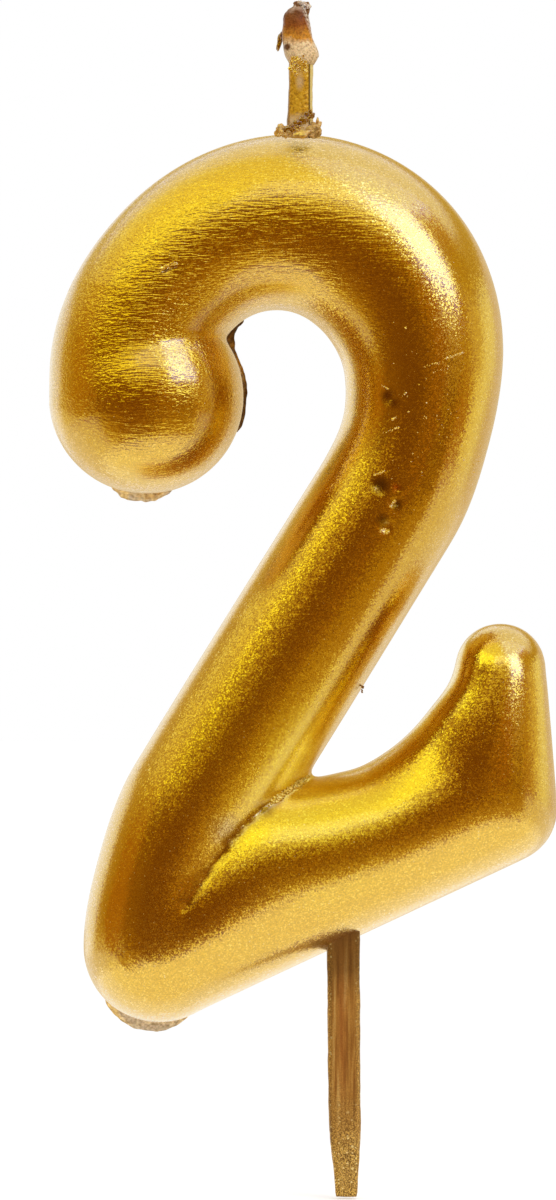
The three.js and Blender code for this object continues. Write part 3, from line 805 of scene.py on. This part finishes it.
bright_marks = [
    *grains((7.8, 52.36), (9.2, 52.85), 9, 0.15, 0.02, 2.0),
    *grains((6.1, 51.7), (7.5, 52.15), 9, 0.11, 0.06),
    *grains((6.8, 51.3), (8.1, 51.6), 7, 0.09, 0.06),
    *grains((2.9, 50.3), (3.5, 50.0), 4, 0.12, 0.02, 1.8),
    *grains((4.4, 49.5), (4.9, 49.7), 3, 0.12, 0.05),
    *grains((3.65, 47.6), (4.05, 47.8), 3, 0.14, 0.02, 1.8),
    *grains((3.0, 46.55), (4.35, 47.1), 8, 0.12, 0.05, 1.4),
    *grains((2.35, 43.35), (3.15, 43.6), 6, 0.14, 0.04, 1.5),
    *grains((2.35, 42.35), (2.7, 42.25), 3, 0.12, 0.06),
    *grains((3.7, 41.1), (4.0, 41.35), 5, 0.19, 0.06),
    *grains((2.95, 39.15), (3.5, 38.95), 5, 0.18, 0.06),
    *grains((-14.2, 59.35), (-12.95, 59.85), 5, 0.26, 0.03, 1.9),
]
# The first row is dark grains set as painted shade under the bright chip; the second is brown crumbs on the
# diagonal's edge.
scars_and_chip_shade = [
    *grains((-14.3, 59.0), (-12.9, 59.55), 6, 0.16, 0.03, 2.0),
    *grains((1.5, 26.9), (1.35, 26.4), 3, 0.2, 0.05),
]
for _ in range(70):
    place = (dice.uniform(3.5, 10.8), dice.uniform(43, 56))
    bright_marks += grains(place, (place[0] + 0.1, place[1]), 1, dice.choice((0.07, 0.09, 0.13)), 0)
crease_grains = [
    *grains((-2.7, 19.95), (-4.4, 18.95), 10, 0.3, 0.06),
    *grains((-4.4, 18.95), (-5.6, 18.0), 10, 0.3, 0.06),
    *grains((-3.0, 19.7), (-5.6, 17.8), 13, 0.4, 0.03),
    *grains((-5.6, 17.8), (-6.5, 17.05), 7, 0.26, 0.06),
]
bright_marks = finished(gathered(bright_marks), "lacquer_chips", "flaked_gold")
scars_and_chip_shade = finished(gathered(scars_and_chip_shade), "lacquer_scars_and_chip_shade", "flaked_gold")
crease_lip = finished(gathered(crease_grains), "lacquer_crease", "flaked_gold")
print("faces in the marks:", len(bright_marks.data.polygons) + len(scars_and_chip_shade.data.polygons))

# %% [markdown]
# ## Flash
# Wax that overflowed the mould leaves a ragged lip along the edge of the flat back: a thin one on
# the right of the ball, painted dark brown as painted shade for the shadow it lies in, and thicker pale
# ones under the ball and under the heel. Each starts as a grid, is laid along a path that follows the
# wax's edge, and has its free edge torn by noise.


# %% Lips of flash
def arc(centre, radius, first, last, count=40):
    """Points along an arc of the picture, with its ends in degrees."""
    angles = [math.radians(first + (last - first) * k / count) for k in range(count + 1)]
    return [Vector(centre) + radius * ahead(angle) for angle in angles]


def lip(path, root, reach, thick, seed, tear):
    """A torn lip on the right-hand side of a path. The root is how far it goes back into the wax."""
    bm = bmesh.new()
    bmesh.ops.create_grid(bm, x_segments=90, y_segments=6, size=0.5)
    shares = {}
    for vert in bm.verts:
        along, out = vert.co.x + 0.5, vert.co.y + 0.5
        at = along * (len(path) - 1)
        k = min(int(at), len(path) - 2)
        way = (path[k + 1] - path[k]).normalized()
        if 0 < k < len(path) - 2:
            way = (path[k + 1] - path[k - 1]).lerp(path[k + 2] - path[k], at - k).normalized()
        swell = math.sin(math.pi * along) ** 0.5
        torn = 1 + tear * (noise.noise((along * 5, seed, 0)) + 0.5 * noise.noise((along * 17, seed, 5)))
        offset = (root + reach * swell * torn) * out - root
        place = path[k].lerp(path[k + 1], at - k) + offset * Vector((way.y, -way.x))
        wave = 0.1 * noise.noise((along * 7, out * 2, seed))
        vert.co = (place.x, BACK - 0.1 + wave * out, place.y)
        shares[round(place.x, 4), round(place.y, 4)] = out
    grown = bmesh.ops.extrude_face_region(bm, geom=bm.faces[:])["geom"]
    for vert in (item for item in grown if isinstance(item, bmesh.types.BMVert)):
        out = shares[round(vert.co.x, 4), round(vert.co.z, 4)]
        vert.co.y -= thick * (1 - 0.7 * out) ** 0.6
    return bm


BALL_SIDE = [
    (-8.43, 46.72), (-8.19, 47.28), (-8.01, 48.20), (-7.94, 48.93), (-7.88, 49.67),
    (-7.94, 50.40), (-8.16, 51.14), (-8.43, 51.87), (-8.68, 52.61), (-8.86, 53.33),
    (-8.90, 54.07), (-8.75, 54.62), (-8.34, 55.14), (-7.79, 55.51),
]
side_lip = lip([Vector(point) for point in BALL_SIDE], 0.7, 0.42, 0.8, 1.0, 0.35)
side_lip = finished(side_lip, "flash_ball_side", "gilded_wax")
under_lip = lip(arc(ball_centre, 6.6, -117, -70), 0, 1.6, 2.4, 2.0, 0.12)
under_lip = finished(under_lip, "flash_ball_under", "gilded_wax")
heel_lip = finished(lip(arc(HEEL, 5.0, -144, -60), 0, 1.75, 2.2, 3.0, 0.08), "flash_heel", "gilded_wax")
print("flash faces:", sum(len(o.data.polygons) for o in (side_lip, under_lip, heel_lip)))

# %% [markdown]
# ## Gold lacquer
# The lacquer is clear varnish full of tiny metal flakes. Each flake lies at its own slight tilt, so the
# shine breaks into a grain about a tenth of a millimetre across: cells of noise tip the normal and vary
# the colour from one flake to the next. The lacquer was brushed on round the ball and the start of the
# arch, where it keeps level streaks. The crotch is painted yellower, as painted light for the light that
# bounces between the strokes there. Painted shade darkens the pits, the fold and the foot of the crease,
# painted reflected light makes the toe's left flank lighter, a crack is stained brown, and a few other
# round spots are yellower or paler than the rest.


# %% Helpers for finishes
def new_finish(name):
    """A material whose patterns keep to a place on the piece, in metres from its origin."""
    material, nodes = new_material(name)
    nodes.place = nodes.add("ShaderNodeTexCoord").outputs["Object"]
    return material, nodes


def surface(nodes, inputs):
    shader = nodes.add("ShaderNodeBsdfPrincipled", inputs)
    nodes.add("ShaderNodeOutputMaterial", {"Surface": shader.outputs[0]})


def spot(nodes, x, z, radius, soft=0.5, squash=1.0):
    """1 inside a round spot of the picture, fading to 0 at its radius. A squash under 1 makes it tall."""
    flat = nodes.vector("MULTIPLY", nodes.place, (1, 0, squash))[0]
    gap = nodes.vector("DISTANCE", flat, (x * MM, 0, z * squash * MM))["Value"]
    return nodes.ramp(nodes.math("DIVIDE", gap, radius * MM), (1 - soft, 1), (1.0, 0))


def speckle(nodes, scale, detail=2, stretch=(1, 1, 1), turn=(0, 0, 0)):
    """Noise with a scale in lumps per metre, stretched and turned if asked."""
    place = nodes.place
    if stretch != (1, 1, 1):
        settings = {"Vector": place, "Rotation": turn, "Scale": stretch}
        place = nodes.add("ShaderNodeMapping", settings).outputs[0]
    return nodes.add("ShaderNodeTexNoise", {"Vector": place, "Scale": scale, "Detail": detail}).outputs[0]


def specks(nodes, scale, share):
    """1 in the few small cells that are lighter crumbs of lacquer, and 0 elsewhere."""
    cells = nodes.add("ShaderNodeTexVoronoi", {"Vector": nodes.place, "Scale": scale}).outputs
    rare = nodes.parts(cells["Color"])[0]
    return nodes.math("LESS_THAN", nodes.math("DIVIDE", cells["Distance"], rare), share)


def tipped_normal(nodes, cell_colour, tilt):
    """The surface's normal, tipped another way in each cell."""
    centred = nodes.vector("SUBTRACT", cell_colour, (0.5, 0.5, 0.5))[0]
    offset = nodes.vector("MULTIPLY", centred, (tilt, tilt, tilt))[0]
    normal = nodes.add("ShaderNodeNewGeometry").outputs["Normal"]
    return nodes.vector("NORMALIZE", nodes.vector("ADD", normal, offset)[0])[0]


# %% Colour of the gold
CROTCH = (-2.85, 20.0)
CROTCH_PAINTED_LIGHT = (0.96, 0.71, 0.02, 1)
SPECK_GOLD = (1.0, 0.80, 0.36, 1)


def gold_colour(nodes, cell_colour, shade, stains_and_painted_light):
    """Deep gold seen straight on and pale gold seen edge on, varied from flake to flake, stained, and with
    painted shade and painted light.
    """
    depth = nodes.parts(nodes.place)[1]
    front = nodes.math("LESS_THAN", depth, FRONT_LIMIT * MM)
    colour = nodes.ramp(
        nodes.add("ShaderNodeLayerWeight", {"Blend": 0.5}).outputs["Facing"],
        (0.0, (0.78, 0.48, 0.030)), (0.3, (0.78, 0.49, 0.035)), (0.56, (0.82, 0.58, 0.15)),
        (0.76, (0.88, 0.74, 0.46)), (1.0, (0.92, 0.85, 0.70)),
    )
    # Painted light: the crotch is yellowed to stand in for light that bounces between the strokes.
    yellow = nodes.times(spot(nodes, *CROTCH, 11, 0.9), front)
    colour = nodes.mix(nodes.times(yellow, 0.8), colour, CROTCH_PAINTED_LIGHT)
    draw = nodes.parts(cell_colour)[0]
    spread = nodes.ramp(draw, (0.0, (0.80, 0.74, 0.6)), (0.85, 1.0), (1.0, (1.15, 1.3, 3.0)))
    colour = nodes.mix(1.0, colour, spread, "MULTIPLY")
    colour = nodes.mix(1.0, colour, (*shade, 1), "MULTIPLY")
    for x, z, radius, tint in stains_and_painted_light:
        share = nodes.times(spot(nodes, x, z, radius, 0.8), front)
        colour = nodes.mix(share, colour, nodes.mix(1.0, colour, (*tint, 1), "MULTIPLY"))
    return colour


# %% Gold material
def brush_streaks(nodes, strength):
    """Level streaks round the ball and the start of the arch, and hardly any elsewhere."""
    fine = speckle(nodes, 7000, 2, (0.12, 1, 1), (0, 0.1, 0))
    coarse = speckle(nodes, 2600, 2, (0.2, 1, 1), (0, 0.1, 0))
    streak = nodes.plus(fine, nodes.times(coarse, 1.1))
    brushed = nodes.plus(spot(nodes, -16, 62, 24, 0.6), 0.12)
    return nodes.times(streak, nodes.times(brushed, strength))


def gold_material(name, tilt=0.155, streaks=1.9, shade=(1, 1, 1), stains_and_painted_light=()):
    material, nodes = new_finish(name)
    cells = nodes.add("ShaderNodeTexVoronoi", {"Vector": nodes.place, "Scale": 10500}).outputs["Color"]
    speck = specks(nodes, 2600, 0.125)
    colour = gold_colour(nodes, cells, shade, stains_and_painted_light)
    colour = nodes.mix(nodes.times(speck, 0.85), colour, SPECK_GOLD)
    blotch = speckle(nodes, 300, 4)
    rough = nodes.ramp(blotch, (0.3, 0.16), (0.75, 0.23))
    rough = nodes.plus(rough, nodes.times(spot(nodes, *CROTCH, 13, 0.9), 0.12))
    rough = nodes.plus(rough, nodes.times(speck, 0.25))
    height = nodes.plus(brush_streaks(nodes, streaks), blotch)
    tipped = tipped_normal(nodes, cells, tilt)
    bump = nodes.add("ShaderNodeBump", {"Height": height, "Distance": 0.00003, "Normal": tipped})
    surface(nodes, {
        "Base Color": colour,
        "Metallic": 1.0,
        "Roughness": rough,
        "Normal": bump.outputs[0],
        "Specular Tint": (1.0, 0.8, 0.4, 1),
        "Coat Weight": 1.0,
        "Coat Roughness": 0.2,
        "Coat IOR": 1.62,
    })
    return material


def dress(material, *objs):
    for obj in objs:
        obj.data.materials.clear()
        obj.data.materials.append(material)
    print(material.name, "nodes:", len(material.node_tree.nodes))


# %% Stains, painted shade and painted light, and the gold put on
# Painted shade: darker round the pits, where shade falls into them; one spot is tinted more orange.
PIT_PAINTED_SHADE = [
    (2.75, 42.45, 1.0, (0.32, 0.27, 0.4)), (4.05, 40.95, 0.6, (0.4, 0.36, 0.8)),
    (2.95, 39.75, 0.65, (0.4, 0.36, 0.8)), (3.95, 42.3, 0.5, (0.9, 0.5, 0.4)),
]
SCAR_STAINS = [(3.35, 49.4, 0.75, (0.45, 0.32, 0.3)), (3.85, 48.8, 0.6, (0.5, 0.36, 0.3))]
# Painted shade: darker at the foot of the crease and along the groove of the fold.
CREASE_RIM_PAINTED_SHADE = [(-5.9, 17.45, 0.8, (0.6, 0.48, 0.2)), (-5.2, 18.0, 0.6, (0.7, 0.56, 0.3))]
FOLD = [
    (-6.4, 17.4), (-7.2, 16.6), (-8.0, 15.8), (-8.8, 14.9),
    (-9.6, 13.8), (-10.4, 12.7), (-11.2, 11.6), (-12.0, 10.5),
]
FOLD_PAINTED_SHADE = [(x, z, 0.95, (0.68, 0.61, 0.6)) for x, z in FOLD]
PINK_PATCH = (-9.2, 15.9, 1.7, (0.82, 0.86, 4.0))
BALL_YELLOW = (-13.8, 52.0, 6.0, (0.98, 0.94, 0.6))
# Painted reflection: the toe's left flank is made lighter, standing in for the bright flank of the diagonal
# that it reflects.
TOE_PAINTED_REFLECTION = [
    (9.9, 29.5, 2.4, (1.15, 1.35, 1.6)), (8.6, 26.5, 2.4, (1.15, 1.35, 1.6)),
    (6.6, 23.8, 2.2, (1.15, 1.3, 1.4)),
]
STAINS_AND_PAINTED_LIGHT = [*PIT_PAINTED_SHADE, *SCAR_STAINS, *CREASE_RIM_PAINTED_SHADE, *FOLD_PAINTED_SHADE, PINK_PATCH, BALL_YELLOW, *TOE_PAINTED_REFLECTION]
dress(gold_material("gold_lacquer", stains_and_painted_light=STAINS_AND_PAINTED_LIGHT), digit)
dress(gold_material("flaked_gold", tilt=0.7, streaks=0.0, shade=(1.2, 1.3, 2.5)), bright_marks, flakes)
dress(gold_material("brown_flakes", tilt=0.7, streaks=0.0, shade=(0.42, 0.32, 0.2)), streak, scars_and_chip_shade)

# %% [markdown]
# ## Waxed finishes
# The lump on the wick is bare wax that has soaked up scorched brown at its top, runs through amber to a
# pale cream, and is granular where it was cut. The shaft is waxed cotton under a thin wash of gold, with
# a bare pale edge on its right. Both colours follow the height, and noise shifts them so that they run
# into each other. The flash under the ball and the heel is the same pale wax with a little gold on it,
# and the crumbs of the collar and the crease are more gold than wax.


# %% Lump, shaft and flash
def height_share(nodes, low, high, wander=0.0, scale=900.0):
    """0 at a low height and 1 at a high one, in millimetres, pushed up and down by noise."""
    z = nodes.parts(nodes.place)[2]
    share = nodes.times(nodes.minus(z, low * MM), 1 / (MM * (high - low)))
    shift = nodes.times(nodes.minus(speckle(nodes, scale), 0.5), wander)
    return nodes.plus(share, shift, clamp=True)


def beyond_x(nodes, x, fade, lean=0.0, z=0.0):
    """0 left of a line and 1 right of it. The line leans by so many millimetres of x for one of z."""
    x_part, _, z_part = nodes.parts(nodes.place)
    line = nodes.plus(nodes.times(nodes.minus(z_part, z * MM), lean), x * MM)
    share = nodes.times(nodes.minus(x_part, line), 1 / (fade * MM))
    return nodes.plus(share, 0.5, clamp=True)


def wax_shader(nodes, colour, rough, metal, height, depth=0.00004, glow=0.25):
    bump = nodes.add("ShaderNodeBump", {"Height": height, "Distance": depth})
    surface(nodes, {
        "Base Color": colour,
        "Metallic": metal,
        "Roughness": rough,
        "Normal": bump.outputs[0],
        "Specular IOR Level": 0.3,
        "Specular Tint": (1.0, 0.85, 0.6, 1),
        "Subsurface Weight": glow,
        "Subsurface Radius": (1.0, 0.6, 0.3),
        "Subsurface Scale": 0.0005,
    })


def lump_material():
    material, nodes = new_finish("scorched_wax")
    share = height_share(nodes, 74.9, 79.9, 0.28, 1300.0)
    colour = nodes.ramp(
        share,
        (0.0, (0.50, 0.30, 0.08)), (0.14, (0.80, 0.55, 0.28)), (0.38, (0.92, 0.64, 0.34)),
        (0.50, (0.66, 0.27, 0.022)), (0.66, (0.32, 0.085, 0.009)), (0.86, (0.20, 0.062, 0.018)),
        (1.0, (0.62, 0.42, 0.27)),
    )
    grains = speckle(nodes, 6500, 3)
    edge = beyond_x(nodes, WICK_X + 0.5, 0.3, -0.33, 78.6)
    crumbly = nodes.times(edge, nodes.ramp(grains, (0.4, 0), (0.5, 1)))
    colour = nodes.mix(crumbly, colour, (0.74, 0.60, 0.46, 1))
    colour = nodes.mix(spot(nodes, -4.42, 76.55, 0.34), colour, (0.16, 0.06, 0.02, 1))
    tone = nodes.ramp(grains, (0.3, (0.62, 0.52, 0.42)), (0.48, 1.0), (0.72, (1.4, 1.4, 1.45)))
    colour = nodes.mix(1.0, colour, tone, "MULTIPLY")
    wax_shader(nodes, colour, 0.35, 0.0, grains)
    return material


def shaft_material():
    material, nodes = new_finish("gilded_cotton")
    grains = speckle(nodes, 5000, 3)
    colour = nodes.ramp(
        grains, (0.32, (0.36, 0.15, 0.006)), (0.5, (0.72, 0.36, 0.014)), (0.68, (0.95, 0.58, 0.06)),
    )
    pale = nodes.times(spot(nodes, -3.45, 73.9, 0.42, 0.8, squash=0.45), 0.7)
    colour = nodes.mix(pale, colour, (0.76, 0.52, 0.26, 1))
    base = nodes.minus(1.0, height_share(nodes, 70.6, 71.5, 0.9, 1500.0))
    colour = nodes.mix(base, colour, (0.80, 0.56, 0.28, 1))
    colour = nodes.mix(beyond_x(nodes, WICK_X + 0.64, 0.1), colour, (0.13, 0.06, 0.008, 1))
    colour = nodes.mix(beyond_x(nodes, WICK_X + 0.76, 0.08), colour, (0.86, 0.64, 0.24, 1))
    left = nodes.minus(1.0, beyond_x(nodes, WICK_X - 0.84, 0.12))
    colour = nodes.mix(left, colour, (0.36, 0.18, 0.03, 1))
    metal = nodes.ramp(grains, (0.45, 0.05), (0.65, 0.5))
    wax_shader(nodes, colour, 0.3, metal, grains, 0.00005, 0.1)
    return material


def flash_material(name, bare, gilt, share_of_gilt):
    material, nodes = new_finish(name)
    grains = speckle(nodes, 4000, 3)
    patches = speckle(nodes, 700, 3)
    shift = share_of_gilt * 0.3
    gilded = nodes.ramp(patches, (0.55 - shift, 0), (0.75 - shift, 1))
    colour = nodes.mix(gilded, (*bare, 1), (*gilt, 1))
    tone = nodes.ramp(grains, (0.3, (0.55, 0.46, 0.34)), (0.7, 1.28))
    colour = nodes.mix(1.0, colour, tone, "MULTIPLY")
    wax_shader(nodes, colour, 0.32, nodes.times(gilded, 0.8), grains, 0.00005)
    return material


dress(lump_material(), lump, lump_grains)
dress(shaft_material(), shaft)
# The thin lip behind the ball is painted dark brown, as painted shade for the shadow it lies in.
dress(flash_material("thin_flash_painted_shade", (0.16, 0.075, 0.02), (0.55, 0.32, 0.06), 0.4), side_lip)
dress(flash_material("crease_bead", (0.66, 0.40, 0.03), (0.95, 0.68, 0.12), 0.6), crease_lip)
dress(flash_material("gilded_crumbs", (0.70, 0.42, 0.13), (0.98, 0.70, 0.26), 0.55), collar)
dress(flash_material("pale_flash", (0.86, 0.66, 0.42), (0.84, 0.58, 0.22), 0.5), under_lip, heel_lip)

# %% [markdown]
# ## Wood and cotton
# The pick is thin brown wood whose grain runs upright. Its edges and its lowest third caught the gold
# spray and are granular with it. The strands of the wick are plain cotton, browned by wax, and only their
# ends stand out of the lump. The shaft, its crumbs and the strands are left out of reflections, which
# would show them as a dark spot in the lacquer.


# %% Pick and strands
def wood_grain(nodes, grain):
    """Brown wood with upright grain, redder down its middle."""
    wood = nodes.ramp(
        grain, (0.30, (0.20, 0.066, 0.008)), (0.44, (0.32, 0.120, 0.016)), (0.56, (0.46, 0.20, 0.032)),
        (0.72, (0.64, 0.36, 0.10)),
    )
    middle = nodes.times(spot(nodes, -0.15, 1.0, 0.5, 0.9, squash=0.06), 0.6)
    return nodes.mix(middle, wood, (0.42, 0.13, 0.02, 1))


def gilt_share(nodes):
    """How much gold spray the pick caught: along its edges, and over its lowest third."""
    x = nodes.parts(nodes.place)[0]
    side = nodes.times(nodes.math("ABSOLUTE", x), 1 / (1.28 * MM))
    side = nodes.ramp(side, (0.62, 0), (0.92, 0.7))
    low = nodes.minus(1.0, height_share(nodes, -9.5, -4.2, 0.6))
    return nodes.math("MAXIMUM", side, low)


def wood_material():
    material, nodes = new_finish("gilded_wood")
    grain = speckle(nodes, 3200, 3, (1, 1, 0.05), (0, 0.02, 0))
    fine = speckle(nodes, 11000)
    gilt = gilt_share(nodes)
    dust = nodes.ramp(fine, (0.42, 0), (0.6, 1))
    gilded = nodes.times(gilt, nodes.plus(nodes.times(dust, 0.65), 0.35))
    colour = nodes.mix(gilded, wood_grain(nodes, grain), (0.58, 0.35, 0.08, 1))
    shadow = height_share(nodes, 2.6, 5.2, 1.2, 700.0)
    colour = nodes.mix(nodes.times(shadow, 0.65), colour, (0.13, 0.05, 0.006, 1))
    tone = nodes.ramp(fine, (0.32, (0.30, 0.24, 0.18)), (0.5, 0.95), (0.7, (1.8, 1.85, 1.7)))
    grainy = nodes.plus(nodes.times(gilt, 0.8), 0.2)
    colour = nodes.mix(1.0, colour, nodes.mix(grainy, (1, 1, 1, 1), tone), "MULTIPLY")
    speck = nodes.times(specks(nodes, 3100, 0.32), nodes.times(gilt, 0.85))
    colour = nodes.mix(speck, colour, (1.0, 0.78, 0.30, 1))
    height = nodes.plus(grain, nodes.times(fine, gilt))
    wax_shader(nodes, colour, 0.36, nodes.times(gilded, 0.75), height, 0.00008, 0.0)
    return material


def cotton_material():
    material, nodes = new_finish("waxed_cotton")
    fibres = speckle(nodes, 9000, 3, (1, 1, 0.25), (0, 0.4, 0))
    colour = nodes.ramp(fibres, (0.3, (0.16, 0.06, 0.02)), (0.6, (0.34, 0.16, 0.06)))
    wax_shader(nodes, colour, 0.5, 0.0, fibres)
    return material


dress(wood_material(), pick)
cotton = cotton_material()
for number in (1, 2, 3):
    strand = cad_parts[f"wick_strand_{number}"]
    strand.visible_glossy = False
    for slot in strand.material_slots:
        slot.material = cotton
for obj in (collar, streak, shaft, flakes):
    obj.visible_glossy = False
print("strands dressed:", cotton.name)
